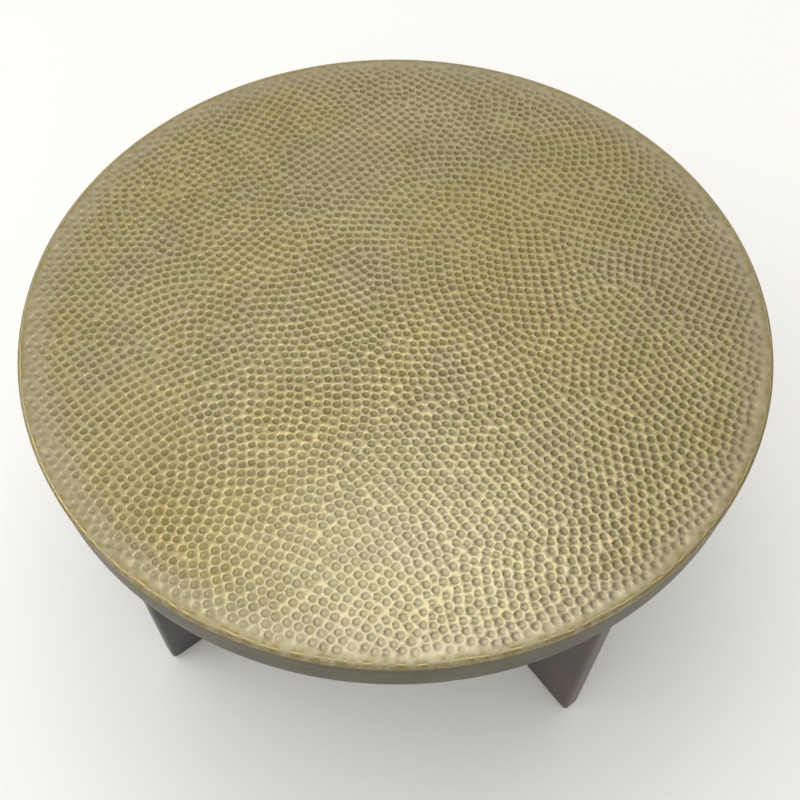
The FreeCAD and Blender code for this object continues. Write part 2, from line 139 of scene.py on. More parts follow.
upper_air = add(studio_air, "MapRange", {"Value": height, "From Min": 0.20, "From Max": 0.50})["Result"]
one_sided = add(studio_air, "MixRGB", {
    "Fac": upper_air,
    "Color1": (1.0, 1.0, 1.0, 1.0),
    "Color2": side,
})["Color"]
brightness = add(studio_air, "Math", {0: one_sided, 1: rise}, operation="MULTIPLY")["Value"]
add(studio_air, "OutputWorld", {
    "Surface": add(studio_air, "Background", {
        "Color": tint("#FFFEFB"),
        "Strength": brightness,
    })["Background"],
})
bpy.context.scene.world = studio_air

FLOOR_REACH = 14.0
bpy.ops.mesh.primitive_plane_add(size=FLOOR_REACH)
floor = bpy.context.object
floor.name = "pale_floor"
pale_paint = new_finish("pale_studio_paint")
add(pale_paint, "OutputMaterial", {
    "Surface": add(pale_paint, "BsdfPrincipled", {
        "Base Color": tint("#F4F3F0"),
        "Roughness": 0.9,
        "Specular IOR Level": 0.2,
    })["BSDF"],
})
dress(floor, pale_paint)


# ---- Crossed boards ----------------------------------------------------------------------------------
# Two boards of stained hardwood, halved into each other where they cross, with rounded upright edges. The
# stain is dark and the lacquer satin, so the grain shows only as a soft streak. The upper board has the
# stain's warmer brown; the lower board is painted cool and black, a painted reflection of the cool left
# light on it.
def stained_hardwood(name, run, dark, light, warm):
    """Dark stained, lacquered hardwood whose grain runs along one axis: run is a Mapping node's scale."""
    wood = new_finish(name)
    place = add(wood, "TexCoord", {})["Object"]
    along = add(wood, "Mapping", {"Vector": place, "Scale": run})["Vector"]
    rings = add(wood, "TexNoise", {"Vector": along, "Scale": 26.0, "Detail": 6.0, "Roughness": 0.62,
                                   "Distortion": 0.6})["Fac"]
    pores = add(wood, "TexNoise", {"Vector": along, "Scale": 260.0, "Detail": 3.0, "Roughness": 0.7})["Fac"]
    patches = add(wood, "TexNoise", {"Vector": place, "Scale": 9.0, "Detail": 2.0})["Fac"]
    figure = add(wood, "MapRange", {"Value": rings, "From Min": 0.36, "From Max": 0.66})["Result"]
    stained = add(wood, "MixRGB", {"Fac": figure, "Color1": tint(dark), "Color2": tint(light)})["Color"]
    blush = add(wood, "MapRange", {
        "Value": patches,
        "From Min": 0.46,
        "From Max": 0.78,
        "To Max": 0.45,
    })["Result"]
    warmed = add(wood, "MixRGB", {"Fac": blush, "Color1": stained, "Color2": tint(warm)})["Color"]
    pitted = add(wood, "MapRange", {
        "Value": pores,
        "From Min": 0.56,
        "From Max": 0.70,
        "To Max": 0.5,
    })["Result"]
    colour = add(wood, "MixRGB", {"Fac": pitted, "Color1": warmed, "Color2": tint("#14100E")})["Color"]
    gloss = add(wood, "MapRange", {"Value": rings, "To Min": 0.38, "To Max": 0.52})["Result"]
    relief = add(wood, "Bump", {"Height": pores, "Strength": 0.25, "Distance": 0.0002})["Normal"]
    add(wood, "OutputMaterial", {
        "Surface": add(wood, "BsdfPrincipled", {
            "Base Color": colour,
            "Roughness": gloss,
            "IOR": 1.5,
            "Normal": relief,
            "Coat Weight": 0.25,
            "Coat Roughness": 0.3,
        })["BSDF"],
    })
    return wood


# The lower board's cool, blackish colours are a painted reflection of the cool light from the left.
dress(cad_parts["lower_cross_board"],
      stained_hardwood("stained_hardwood_cool_painted_reflection", (0.09, 1.0, 1.0), "#1D2021", "#34393A", "#2C2A2B"))
dress(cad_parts["upper_cross_board"],
      stained_hardwood("stained_hardwood_warm", (1.0, 0.09, 1.0), "#231A11", "#40321F", "#663A24"))


# ---- Foot glides -------------------------------------------------------------------------------------
# A round black nylon glide is nailed under each end of the boards. It is moulded, so it has an even satin
# skin with a very fine spark-eroded grain, scuffed paler on the face that meets the floor.
nylon = new_finish("moulded_black_nylon")
place = add(nylon, "TexCoord", {})["Object"]
mould_grain = add(nylon, "TexNoise", {"Vector": place, "Scale": 2500.0, "Detail": 1.0})["Fac"]
scuffs = add(nylon, "TexNoise", {"Vector": place, "Scale": 420.0, "Detail": 3.0, "Distortion": 1.5})["Fac"]
above_floor = add(nylon, "SeparateXYZ", {"Vector": place})["Z"]
on_face = add(nylon, "MapRange", {"Value": above_floor, "From Min": 0.0006, "From Max": 0.0001})["Result"]
scuffed = add(nylon, "MapRange", {"Value": scuffs, "From Min": 0.45, "From Max": 0.70})["Result"]
wear = add(nylon, "Math", {0: on_face, 1: scuffed}, operation="MULTIPLY")["Value"]
colour = add(nylon, "MixRGB", {"Fac": wear, "Color1": tint("#232323"), "Color2": tint("#4A4947")})["Color"]
gloss = add(nylon, "MapRange", {"Value": wear, "To Min": 0.42, "To Max": 0.7})["Result"]
relief = add(nylon, "Bump", {"Height": mould_grain, "Strength": 0.2, "Distance": 0.00005})["Normal"]
add(nylon, "OutputMaterial", {
    "Surface": add(nylon, "BsdfPrincipled", {
        "Base Color": colour,
        "Roughness": gloss,
        "IOR": 1.53,
        "Normal": relief,
    })["BSDF"],
})
for number in range(1, 5):
    dress(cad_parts[f"foot_glide_{number}"], nylon)


# ---- Glide nails -------------------------------------------------------------------------------------
# Flat-headed bright steel nails, one through the middle of each glide, their heads sunk below its face.
# Drawn wire with a stamped head: fine marks, and a little grey where the hammer landed.
nail_steel = new_finish("drawn_bright_steel")
place = add(nail_steel, "TexCoord", {})["Object"]
stamped = add(nail_steel, "TexNoise", {"Vector": place, "Scale": 900.0, "Detail": 3.0})["Fac"]
colour = add(nail_steel, "MixRGB", {
    "Fac": stamped,
    "Color1": tint("#8E8E8C"),
    "Color2": tint("#B9B9B6"),
})["Color"]
gloss = add(nail_steel, "MapRange", {"Value": stamped, "To Min": 0.28, "To Max": 0.45})["Result"]
relief = add(nail_steel, "Bump", {"Height": stamped, "Strength": 0.2, "Distance": 0.00005})["Normal"]
add(nail_steel, "OutputMaterial", {
    "Surface": add(nail_steel, "BsdfPrincipled", {
        "Base Color": colour,
        "Metallic": 1.0,
        "Roughness": gloss,
        "Normal": relief,
    })["BSDF"],
})
dress(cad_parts["glide_nails"], nail_steel)


# ---- Rest pads ---------------------------------------------------------------------------------------
# Strips of dark brown pressed felt, cut with round corners and glued along the boards' top edges. The faces
# are slightly uneven and the cut edges soft.
felt = new_finish("pressed_wool_felt")
place = add(felt, "TexCoord", {})["Object"]
fibres = add(felt, "TexNoise", {"Vector": place, "Scale": 1400.0, "Detail": 4.0, "Distortion": 1.2})["Fac"]
lumps = add(felt, "TexNoise", {"Vector": place, "Scale": 180.0, "Detail": 2.0})["Fac"]
mixed = add(felt, "Math", {0: fibres, 1: lumps}, operation="MULTIPLY")["Value"]
shade = add(felt, "MapRange", {"Value": mixed, "From Min": 0.12, "From Max": 0.42})["Result"]
colour = add(felt, "MixRGB", {"Fac": shade, "Color1": tint("#2B221D"), "Color2": tint("#54463C")})["Color"]
relief = add(felt, "Bump", {"Height": fibres, "Strength": 0.6, "Distance": 0.0003})["Normal"]
add(felt, "OutputMaterial", {
    "Surface": add(felt, "BsdfPrincipled", {
        "Base Color": colour,
        "Roughness": 0.95,
        "IOR": 1.45,
        "Specular IOR Level": 0.2,
        "Sheen Weight": 0.5,
        "Sheen Roughness": 0.6,
        "Normal": relief,
    })["BSDF"],
})

FELT_CORNER = 0.003
FELT_PARTS_ALONG = 12
FELT_PARTS_ACROSS = 4
FELT_SOFT_EDGE = 0.0003
FELT_SIDE_WANDER = 0.00018
FELT_DIP = 0.00012
FELT_WAVES_PER_METRE = 160
for number in range(1, 5):
    low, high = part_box(f"rest_pad_{number}")
    size = high - low
    along = 0 if size.x > size.y else 1
    bpy.ops.mesh.primitive_cube_add(size=1, location=(low + high) / 2, scale=size)
    strip = bpy.context.object
    strip.name = f"felt_rest_strip_{number}"
    bpy.ops.object.transform_apply(location=True, rotation=True, scale=True)
    bpy.ops.object.mode_set(mode="EDIT")
    bpy.ops.mesh.select_mode(type="EDGE")
    bpy.ops.mesh.select_all(action="DESELECT")
    bpy.ops.object.mode_set(mode="OBJECT")
    for edge in strip.data.edges:
        ends = [strip.data.vertices[end].co for end in edge.vertices]
        edge.select = (ends[0] - ends[1]).xy.length < 1e-6
    bpy.ops.object.mode_set(mode="EDIT")
    bpy.ops.mesh.bevel(offset=FELT_CORNER, segments=4)
    for axis, parts in ((along, FELT_PARTS_ALONG), (1 - along, FELT_PARTS_ACROSS)):
        direction = [0.0, 0.0, 0.0]
        direction[axis] = 1.0
        for cut in range(1, parts):
            centre = (low + high) / 2
            centre[axis] = low[axis] + size[axis] * cut / parts
            bpy.ops.mesh.select_all(action="SELECT")
            bpy.ops.mesh.bisect(plane_co=centre, plane_no=direction)
    bpy.ops.object.mode_set(mode="OBJECT")
    softened = strip.modifiers.new("soft_cut_edge", "BEVEL")
    softened.width = FELT_SOFT_EDGE
    softened.segments = 2
    softened.limit_method = "ANGLE"
    bpy.ops.object.modifier_apply(modifier="soft_cut_edge")
    for vertex in strip.data.vertices:
        spot = vertex.co * FELT_WAVES_PER_METRE
        vertex.co.x += FELT_SIDE_WANDER * noise.noise(spot + Vector((9.0, 0.0, 0.0)))
        vertex.co.y += FELT_SIDE_WANDER * noise.noise(spot + Vector((0.0, 9.0, 0.0)))
        if vertex.co.z > low.z + size.z / 2:
            vertex.co.z -= FELT_DIP * abs(noise.noise(spot))
    bpy.ops.object.shade_smooth_by_angle(angle=math.radians(60))
    bpy.ops.object.select_all(action="DESELECT")
    dress(strip, felt)
    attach(strip, "base")
    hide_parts(f"rest_pad_{number}")


# ---- Core of the tray --------------------------------------------------------------------------------
# Two rounds of birch plywood, glued and screwed one on the other. The faces are pale rotary-cut birch with
# a wide soft figure, and the sawn edge shows the plies, every other one end-on and darker.
PLY_THICKNESS = 0.0014
ply = new_finish("birch_plywood_raw")
place = add(ply, "TexCoord", {})["Object"]
laid = add(ply, "Mapping", {"Vector": place, "Scale": (1.0, 0.14, 1.0)})["Vector"]
figure = add(ply, "TexNoise", {"Vector": laid, "Scale": 30.0, "Detail": 5.0, "Distortion": 1.1})["Fac"]
flecks = add(ply, "TexNoise", {"Vector": laid, "Scale": 420.0, "Detail": 2.0})["Fac"]
face = add(ply, "MixRGB", {"Fac": figure, "Color1": tint("#B8925F"), "Color2": tint("#D8BB8B")})["Color"]
height = add(ply, "SeparateXYZ", {"Vector": place})["Z"]
ply_count = add(ply, "Math", {0: height, 1: PLY_THICKNESS}, operation="DIVIDE")["Value"]
odd_ply = add(ply, "Math", {0: ply_count, 1: 2.0}, operation="MODULO")["Value"]
end_on = add(ply, "MapRange", {"Value": odd_ply, "From Min": 0.95, "From Max": 1.05})["Result"]
facing = add(ply, "NewGeometry", {})["Normal"]
steepness = add(ply, "SeparateXYZ", {"Vector": facing})["Z"]
upward = add(ply, "Math", {0: steepness}, operation="ABSOLUTE")["Value"]
on_edge = add(ply, "MapRange", {"Value": upward, "From Min": 0.7, "From Max": 0.3})["Result"]
darker = add(ply, "Math", {0: end_on, 1: on_edge}, operation="MULTIPLY")["Value"]
banded = add(ply, "MixRGB", {"Fac": darker, "Color1": face, "Color2": tint("#8C6A40")})["Color"]
flecked = add(ply, "MapRange", {
    "Value": flecks,
    "From Min": 0.60,
    "From Max": 0.75,
    "To Max": 0.4,
})["Result"]
colour = add(ply, "MixRGB", {"Fac": flecked, "Color1": banded, "Color2": tint("#7A5A35")})["Color"]
relief = add(ply, "Bump", {"Height": flecks, "Strength": 0.2, "Distance": 0.0002})["Normal"]
add(ply, "OutputMaterial", {
    "Surface": add(ply, "BsdfPrincipled", {
        "Base Color": colour,
        "Roughness": 0.72,
        "IOR": 1.5,
        "Normal": relief,
    })["BSDF"],
})
dress(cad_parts["upper_core_disc"], ply)
dress(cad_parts["lower_core_disc"], ply)


# ---- Core screws -------------------------------------------------------------------------------------
# Countersunk wood screws that hold the two discs together. Steel, zinc plated and yellow passivated, which
# gives it a thin straw and violet bloom.
zinc = new_finish("zinc_plated_steel_yellow")
place = add(zinc, "TexCoord", {})["Object"]
bloom = add(zinc, "TexNoise", {"Vector": place, "Scale": 260.0, "Detail": 2.0, "Distortion": 1.0})["Fac"]
sweep = add(zinc, "MapRange", {"Value": bloom, "From Min": 0.35, "From Max": 0.65})["Result"]
colour = add(zinc, "MixRGB", {"Fac": sweep, "Color1": tint("#B7A468"), "Color2": tint("#A79CA0")})["Color"]
gloss = add(zinc, "MapRange", {"Value": bloom, "To Min": 0.25, "To Max": 0.42})["Result"]
scratches = add(zinc, "TexNoise", {"Vector": place, "Scale": 1500.0, "Detail": 2.0})["Fac"]
relief = add(zinc, "Bump", {"Height": scratches, "Strength": 0.15, "Distance": 0.00005})["Normal"]
add(zinc, "OutputMaterial", {
    "Surface": add(zinc, "BsdfPrincipled", {
        "Base Color": colour,
        "Metallic": 1.0,
        "Roughness": gloss,
        "Normal": relief,
    })["BSDF"],
})
dress(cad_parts["core_screws"], zinc)


# ---- Underside panel ---------------------------------------------------------------------------------
# Thin fibreboard, rolled with matt black paint: a fine stipple from the roller, and thinner, greyer places.
panel_paint = new_finish("fibreboard_matt_black_paint")
place = add(panel_paint, "TexCoord", {})["Object"]
stipple = add(panel_paint, "TexNoise", {"Vector": place, "Scale": 520.0, "Detail": 3.0})["Fac"]
thin_places = add(panel_paint, "TexNoise", {"Vector": place, "Scale": 14.0, "Detail": 4.0})["Fac"]
thinness = add(panel_paint, "MapRange", {
    "Value": thin_places,
    "From Min": 0.42,
    "From Max": 0.70,
})["Result"]
colour = add(panel_paint, "MixRGB", {
    "Fac": thinness,
    "Color1": tint("#1D1C1B"),
    "Color2": tint("#2F2C29"),
})["Color"]
gloss = add(panel_paint, "MapRange", {"Value": stipple, "To Min": 0.62, "To Max": 0.8})["Result"]
relief = add(panel_paint, "Bump", {"Height": stipple, "Strength": 0.35, "Distance": 0.0002})["Normal"]
add(panel_paint, "OutputMaterial", {
    "Surface": add(panel_paint, "BsdfPrincipled", {
        "Base Color": colour,
        "Roughness": gloss,
        "IOR": 1.5,
        "Normal": relief,
    })["BSDF"],
})
dress(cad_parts["underside_panel"], panel_paint)


# ---- Locating blocks ---------------------------------------------------------------------------------
# Four blocks of hardwood with bevelled lower edges, screwed up under the tray in the corners of the crossed
# boards. They are stained a little lighter than the boards and have the same satin lacquer.
block_wood = stained_hardwood("stained_hardwood_block", (0.12, 1.0, 1.0), "#2A211B", "#493A2E", "#503325")
for number in range(1, 5):
    dress(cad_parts[f"locating_block_{number}"], block_wood)


# ---- Block screws ------------------------------------------------------------------------------------
# Two countersunk wood screws to a block, with the same plating as the core screws and a cross recess in the
# head, which faces down.
SCREW_HEAD = 0.0040
SCREW_SHANK = 0.0020
SCREW_TAPER = 0.0026
SCREW_TIP = 0.006
SCREW_POINT_SHARE = 0.12
SCREW_OFFSET = 0.014
HEAD_EDGE = 0.0002
RECESS_WIDTH = 0.0009
RECESS_REACH = 0.0024
RECESS_DEPTH = 0.0017
RECESS_FOOT_SHARE = 0.45
screws_low, screws_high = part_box("block_screws")
block_middle = (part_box("locating_block_1")[0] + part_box("locating_block_1")[1]) / 2
bpy.ops.mesh.primitive_cylinder_add(
    vertices=32,
    radius=SCREW_HEAD,
    depth=HEAD_EDGE,
    end_fill_type="NGON",
    location=(0, 0, screws_low.z + HEAD_EDGE / 2),
)
screw = bpy.context.object
bpy.ops.object.transform_apply(location=True)
bpy.ops.object.mode_set(mode="EDIT")
bpy.ops.mesh.select_mode(type="FACE")
bpy.ops.mesh.select_all(action="DESELECT")
bpy.ops.object.mode_set(mode="OBJECT")
for face in screw.data.polygons:
    face.select = face.normal.z > 0.9
bpy.ops.object.mode_set(mode="EDIT")
middle_of_head = (0, 0, screws_low.z)
bpy.ops.mesh.extrude_region_move(TRANSFORM_OT_translate={"value": (0, 0, SCREW_TAPER - HEAD_EDGE)})
bpy.ops.transform.resize(value=(SCREW_SHANK / SCREW_HEAD, SCREW_SHANK / SCREW_HEAD, 1),
                         center_override=middle_of_head)
tip_start = screws_high.z - SCREW_TIP
shank_length = tip_start - screws_low.z - SCREW_TAPER
bpy.ops.mesh.extrude_region_move(TRANSFORM_OT_translate={"value": (0, 0, shank_length)})
bpy.ops.mesh.extrude_region_move(TRANSFORM_OT_translate={"value": (0, 0, screws_high.z - tip_start)})
bpy.ops.transform.resize(value=(SCREW_POINT_SHARE, SCREW_POINT_SHARE, 1), center_override=middle_of_head)
bpy.ops.object.mode_set(mode="OBJECT")
bpy.ops.object.select_all(action="DESELECT")
for turn in (0, 90):
    bpy.ops.mesh.primitive_cube_add(
        size=1,
        location=(0, 0, screws_low.z),
        rotation=(0, 0, math.radians(turn)),
        scale=(2 * RECESS_REACH, RECESS_WIDTH, 2 * RECESS_DEPTH),
    )
    cutter = bpy.context.object
    bpy.ops.object.transform_apply(location=True, rotation=True, scale=True)
    for vertex in cutter.data.vertices:
        if vertex.co.z > screws_low.z:
            vertex.co.xy *= RECESS_FOOT_SHARE
    bpy.ops.object.select_all(action="DESELECT")
    screw.select_set(True)
    bpy.context.view_layer.objects.active = screw
    recess = screw.modifiers.new("recess", "BOOLEAN")
    recess.operation = "DIFFERENCE"
    recess.solver = "EXACT"
    recess.object = cutter
    bpy.ops.object.modifier_apply(modifier="recess")
    bpy.data.objects.remove(cutter)

# Each screw was driven until it was tight, so no two recesses line up.
block_screws = []
for quarter in range(4):
    for side in (-1, 1):
        spot = Vector((block_middle.x - side * SCREW_OFFSET, block_middle.y + side * SCREW_OFFSET, 0.0))
        copy = screw.copy()
        copy.data = screw.data.copy()
        bpy.context.scene.collection.objects.link(copy)
        turned_in = Matrix.Rotation(0.7 * quarter + 0.4 * side, 4, "Z")
        at_block = Matrix.Rotation(math.pi / 2 * quarter, 4, "Z") @ Matrix.Translation(spot)
        copy.data.transform(at_block @ turned_in)
        block_screws.append(copy)
bpy.data.objects.remove(screw)
for copy in block_screws:
    copy.select_set(True)
bpy.context.view_layer.objects.active = block_screws[0]
bpy.ops.object.join()
all_block_screws = bpy.context.object
all_block_screws.name = "block_screws_cross_head"
bpy.ops.object.shade_smooth_by_angle(angle=math.radians(35))
bpy.ops.object.select_all(action="DESELECT")
dress(all_block_screws, zinc)
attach(all_block_screws, "tray")
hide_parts("block_screws")


# ---- Rim band ----------------------------------------------------------------------------------------
# A strip of smooth brass rolled round the core, its lower edge folded in under the tray as a flange and its
# two ends meeting in a butt seam at the back. It was darkened with a liver of sulphur wash and rubbed down
# along its length, so it is a grey olive with faint level streaks.
BAND_GAUGE = 0.0009
FLANGE_WIDTH = 0.013
FOLD_RADIUS = 0.0014
SEAM_AZIMUTH = math.radians(52.5)
SEAM_GAP = 0.0006
FIRST_RING = 0.392
RING_STEP = 0.008
RING_COUNT = 4
UNDER_SKIRT = 0.4185
ROLLER_RIPPLE = 0.0004
HAIR = 0.0001
band_low, band_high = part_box("rim_band")
bpy.ops.mesh.primitive_cylinder_add(
    vertices=360,
    radius=band_high.x,
    depth=band_high.z - band_low.z,
    end_fill_type="NOTHING",
    location=(0, 0, (band_low.z + band_high.z) / 2),
)
band = bpy.context.object
band.name = "darkened_brass_band"
bpy.ops.object.transform_apply(location=True)
bpy.ops.object.mode_set(mode="EDIT")
bpy.ops.mesh.select_mode(type="EDGE")
bpy.ops.mesh.select_all(action="DESELECT")
bpy.ops.object.mode_set(mode="OBJECT")
for edge in band.data.edges:
    edge.select = all(band.data.vertices[end].co.z < band_low.z + HAIR for end in edge.vertices)
bpy.ops.object.mode_set(mode="EDIT")
narrowed = (band_high.x - FLANGE_WIDTH) / band_high.x
bpy.ops.mesh.extrude_edges_move(TRANSFORM_OT_translate={"value": (0, 0, 0)})
bpy.ops.transform.resize(value=(narrowed, narrowed, 1), center_override=(0, 0, 0))
bpy.ops.object.mode_set(mode="OBJECT")
for edge in band.data.edges:
    ends = [band.data.vertices[end].co for end in edge.vertices]
    edge.select = all(end.z < band_low.z + HAIR and end.xy.length > band_high.x - HAIR for end in ends)
bpy.ops.object.mode_set(mode="EDIT")
bpy.ops.mesh.bevel(offset=FOLD_RADIUS, segments=4)
for ring in range(RING_COUNT):
    bpy.ops.mesh.select_all(action="SELECT")
    bpy.ops.mesh.bisect(plane_co=(0, 0, FIRST_RING + ring * RING_STEP), plane_no=(0, 0, 1))
along_seam = Vector((math.cos(SEAM_AZIMUTH), math.sin(SEAM_AZIMUTH), 0.0))
across_seam = Vector((-along_seam.y, along_seam.x, 0.0))
for side in (-1, 1):
    bpy.ops.mesh.select_all(action="SELECT")
    bpy.ops.mesh.bisect(plane_co=across_seam * SEAM_GAP / 2 * side, plane_no=across_seam)
bpy.ops.mesh.select_mode(type="FACE")
bpy.ops.mesh.select_all(action="DESELECT")
bpy.ops.object.mode_set(mode="OBJECT")
for face in band.data.polygons:
    middle = face.center
    face.select = middle.dot(along_seam) > 0 and abs(middle.dot(across_seam)) < SEAM_GAP / 2
bpy.ops.object.mode_set(mode="EDIT")
bpy.ops.mesh.delete(type="FACE")
bpy.ops.mesh.select_all(action="SELECT")
bpy.ops.mesh.normals_make_consistent(inside=False)
bpy.ops.object.mode_set(mode="OBJECT")
for vertex in band.data.vertices:
    if band_low.z + FOLD_RADIUS < vertex.co.z < UNDER_SKIRT:
        bearing = vertex.co.normalized() * 7
        vertex.co.xy *= 1 + ROLLER_RIPPLE * noise.noise((bearing.x, bearing.y, vertex.co.z * 40))
wall = band.modifiers.new("gauge", "SOLIDIFY")
wall.thickness = BAND_GAUGE
wall.offset = -1
wall.use_even_offset = True
bpy.ops.object.modifier_apply(modifier="gauge")
bpy.ops.object.shade_smooth_by_angle(angle=math.radians(40))
bpy.ops.object.select_all(action="DESELECT")

# The band is darker close under the skirt, painted shade and dirt where the sheet's turned edge overhangs
# it, and darker again towards the fold at its foot.
SKIRT_SHADE_AND_DIRT_FROM = 0.4145
SKIRT_SHADE_AND_DIRT_FULL = 0.4195
FOLD_DARKENING_FROM = 0.3865
FOLD_DARKENING_FULL = 0.3840
band_brass = new_finish("brass_smooth_darkened")
place = add(band_brass, "TexCoord", {})["Object"]
level = add(band_brass, "Mapping", {"Vector": place, "Scale": (0.02, 0.02, 1.0)})["Vector"]
streaks = add(band_brass, "TexNoise", {
    "Vector": level,
    "Scale": 560.0,
    "Detail": 4.0,
    "Roughness": 0.6,
})["Fac"]
blotches = add(band_brass, "TexNoise", {"Vector": place, "Scale": 22.0, "Detail": 3.0})["Fac"]
wash = add(band_brass, "MapRange", {"Value": blotches, "From Min": 0.38, "From Max": 0.64})["Result"]
washed = add(band_brass, "MixRGB", {
    "Fac": wash,
    "Color1": tint("#4E4A42"),
    "Color2": tint("#5A564B"),
})["Color"]
rubbed_and_highlit = add(band_brass, "MapRange", {
    "Value": streaks,
    "From Min": 0.34,
    "From Max": 0.68,
    "To Max": 0.8,
})["Result"]
streaked = add(band_brass, "MixRGB", {"Fac": rubbed_and_highlit, "Color1": washed, "Color2": tint("#7C7765")})["Color"]
height = add(band_brass, "SeparateXYZ", {"Vector": place})["Z"]
# Painted shade and dirt: the band is painted darker just under the sheet's overhanging skirt.
under_skirt = add(band_brass, "MapRange", {
    "Value": height,
    "From Min": SKIRT_SHADE_AND_DIRT_FROM,
    "From Max": SKIRT_SHADE_AND_DIRT_FULL,
    "To Max": 0.8,
})["Result"]
shaded_and_dirty = add(band_brass, "MixRGB", {
    "Fac": under_skirt,
    "Color1": streaked,
    "Color2": tint("#3A3523"),
})["Color"]
# The band is darker towards the fold at its foot.
at_fold = add(band_brass, "MapRange", {
    "Value": height,
    "From Min": FOLD_DARKENING_FROM,
    "From Max": FOLD_DARKENING_FULL,
    "To Max": 0.7,
})["Result"]
colour = add(band_brass, "MixRGB", {"Fac": at_fold, "Color1": shaded_and_dirty, "Color2": tint("#3B3829")})["Color"]
gloss = add(band_brass, "MapRange", {"Value": streaks, "To Min": 0.42, "To Max": 0.58})["Result"]
relief = add(band_brass, "Bump", {"Height": streaks, "Strength": 0.15, "Distance": 0.0001})["Normal"]
add(band_brass, "OutputMaterial", {
    "Surface": add(band_brass, "BsdfPrincipled", {
        "Base Color": colour,
        "Metallic": 1.0,
        "Roughness": gloss,
        "Normal": relief,
    })["BSDF"],
})
dress(band, band_brass)
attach(band, "tray")
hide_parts("rim_band")


# ---- Seam strip --------------------------------------------------------------------------------------
# A short strip of the same brass, soldered over the band's butt seam at the back of the table, its edges
# filed round. The spin turns clockwise seen from above, so it starts half the strip's angle anticlockwise of
# the seam.
STRIP_GAUGE = 0.0006
SOLDER_FILM = 0.00005
FILED_EDGE = 0.0002
STRIP_ANGLE = math.radians(4)
strip_low, strip_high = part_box("band_seam_strip")
strip_middle = (strip_low.z + strip_high.z) / 2
start_azimuth = SEAM_AZIMUTH + STRIP_ANGLE / 2
strip_radius = band_high.x + STRIP_GAUGE / 2 + SOLDER_FILM
strip_start = (strip_radius * math.cos(start_azimuth), strip_radius * math.sin(start_azimuth), strip_middle)
bpy.ops.mesh.primitive_plane_add(size=1, location=strip_start, rotation=(math.pi / 2, 0, start_azimuth))
seam_strip = bpy.context.object
seam_strip.name = "soldered_seam_strip"
seam_strip.scale = (STRIP_GAUGE, strip_high.z - strip_low.z, 1)
bpy.ops.object.transform_apply(location=True, rotation=True, scale=True)
bpy.ops.object.mode_set(mode="EDIT")
bpy.ops.mesh.select_all(action="SELECT")
bpy.ops.mesh.spin(steps=8, angle=STRIP_ANGLE, center=(0, 0, 0), axis=(0, 0, 1))
bpy.ops.mesh.select_all(action="SELECT")
bpy.ops.mesh.remove_doubles(threshold=0.00001)
bpy.ops.mesh.normals_make_consistent(inside=False)
bpy.ops.object.mode_set(mode="OBJECT")
filed = seam_strip.modifiers.new("filed_edges", "BEVEL")
filed.width = FILED_EDGE
filed.segments = 2
filed.limit_method = "ANGLE"
filed.angle_limit = math.radians(50)
bpy.ops.object.modifier_apply(modifier="filed_edges")
bpy.ops.object.shade_smooth_by_angle(angle=math.radians(40))
bpy.ops.object.select_all(action="DESELECT")
dress(seam_strip, band_brass)
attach(seam_strip, "tray")
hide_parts("band_seam_strip")


# ---- Band pins ---------------------------------------------------------------------------------------
# Twenty-four small brass pins with domed heads, driven up through the flange into the core.
PIN_HEAD = 0.0018
PIN_SHANK = 0.0008
PIN_POINT = 0.002
PIN_POINT_SHARE = 0.1
PIN_CIRCLE = 0.3725
PIN_COUNT = 24
pins_low, pins_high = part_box("band_pins")
first_pin = (PIN_CIRCLE, 0, band_low.z)
bpy.ops.mesh.primitive_uv_sphere_add(segments=14, ring_count=8, radius=PIN_HEAD, location=first_pin)
pin = bpy.context.object
bpy.ops.object.transform_apply(location=True)
bpy.ops.object.mode_set(mode="EDIT")
bpy.ops.mesh.select_all(action="SELECT")
head_flatness = (band_low.z - pins_low.z) / PIN_HEAD
bpy.ops.transform.resize(value=(1, 1, head_flatness), center_override=first_pin)
bpy.ops.mesh.bisect(plane_co=first_pin, plane_no=(0, 0, 1), use_fill=True, clear_outer=True)
bpy.ops.mesh.select_mode(type="FACE")
bpy.ops.mesh.select_all(action="DESELECT")
bpy.ops.object.mode_set(mode="OBJECT")
for face in pin.data.polygons:
    face.select = face.normal.z > 0.99
bpy.ops.object.mode_set(mode="EDIT")
bpy.ops.mesh.inset(thickness=PIN_HEAD - PIN_SHANK)
shank_length = pins_high.z - band_low.z - PIN_POINT
bpy.ops.mesh.extrude_region_move(TRANSFORM_OT_translate={"value": (0, 0, shank_length)})
bpy.ops.mesh.extrude_region_move(TRANSFORM_OT_translate={"value": (0, 0, PIN_POINT)})
bpy.ops.transform.resize(value=(PIN_POINT_SHARE, PIN_POINT_SHARE, 1), center_override=(PIN_CIRCLE, 0, 0))
bpy.ops.object.mode_set(mode="OBJECT")
pin_copies = [pin]
for number in range(1, PIN_COUNT):
    copy = pin.copy()
    copy.data = pin.data.copy()
    bpy.context.scene.collection.objects.link(copy)
    copy.data.transform(Matrix.Rotation(2 * math.pi * number / PIN_COUNT, 4, "Z"))
    pin_copies.append(copy)
for copy in pin_copies:
    copy.select_set(True)
bpy.context.view_layer.objects.active = pin
bpy.ops.object.join()
pin.name = "domed_band_pins"
bpy.ops.object.shade_smooth_by_angle(angle=math.radians(50))
bpy.ops.object.select_all(action="DESELECT")

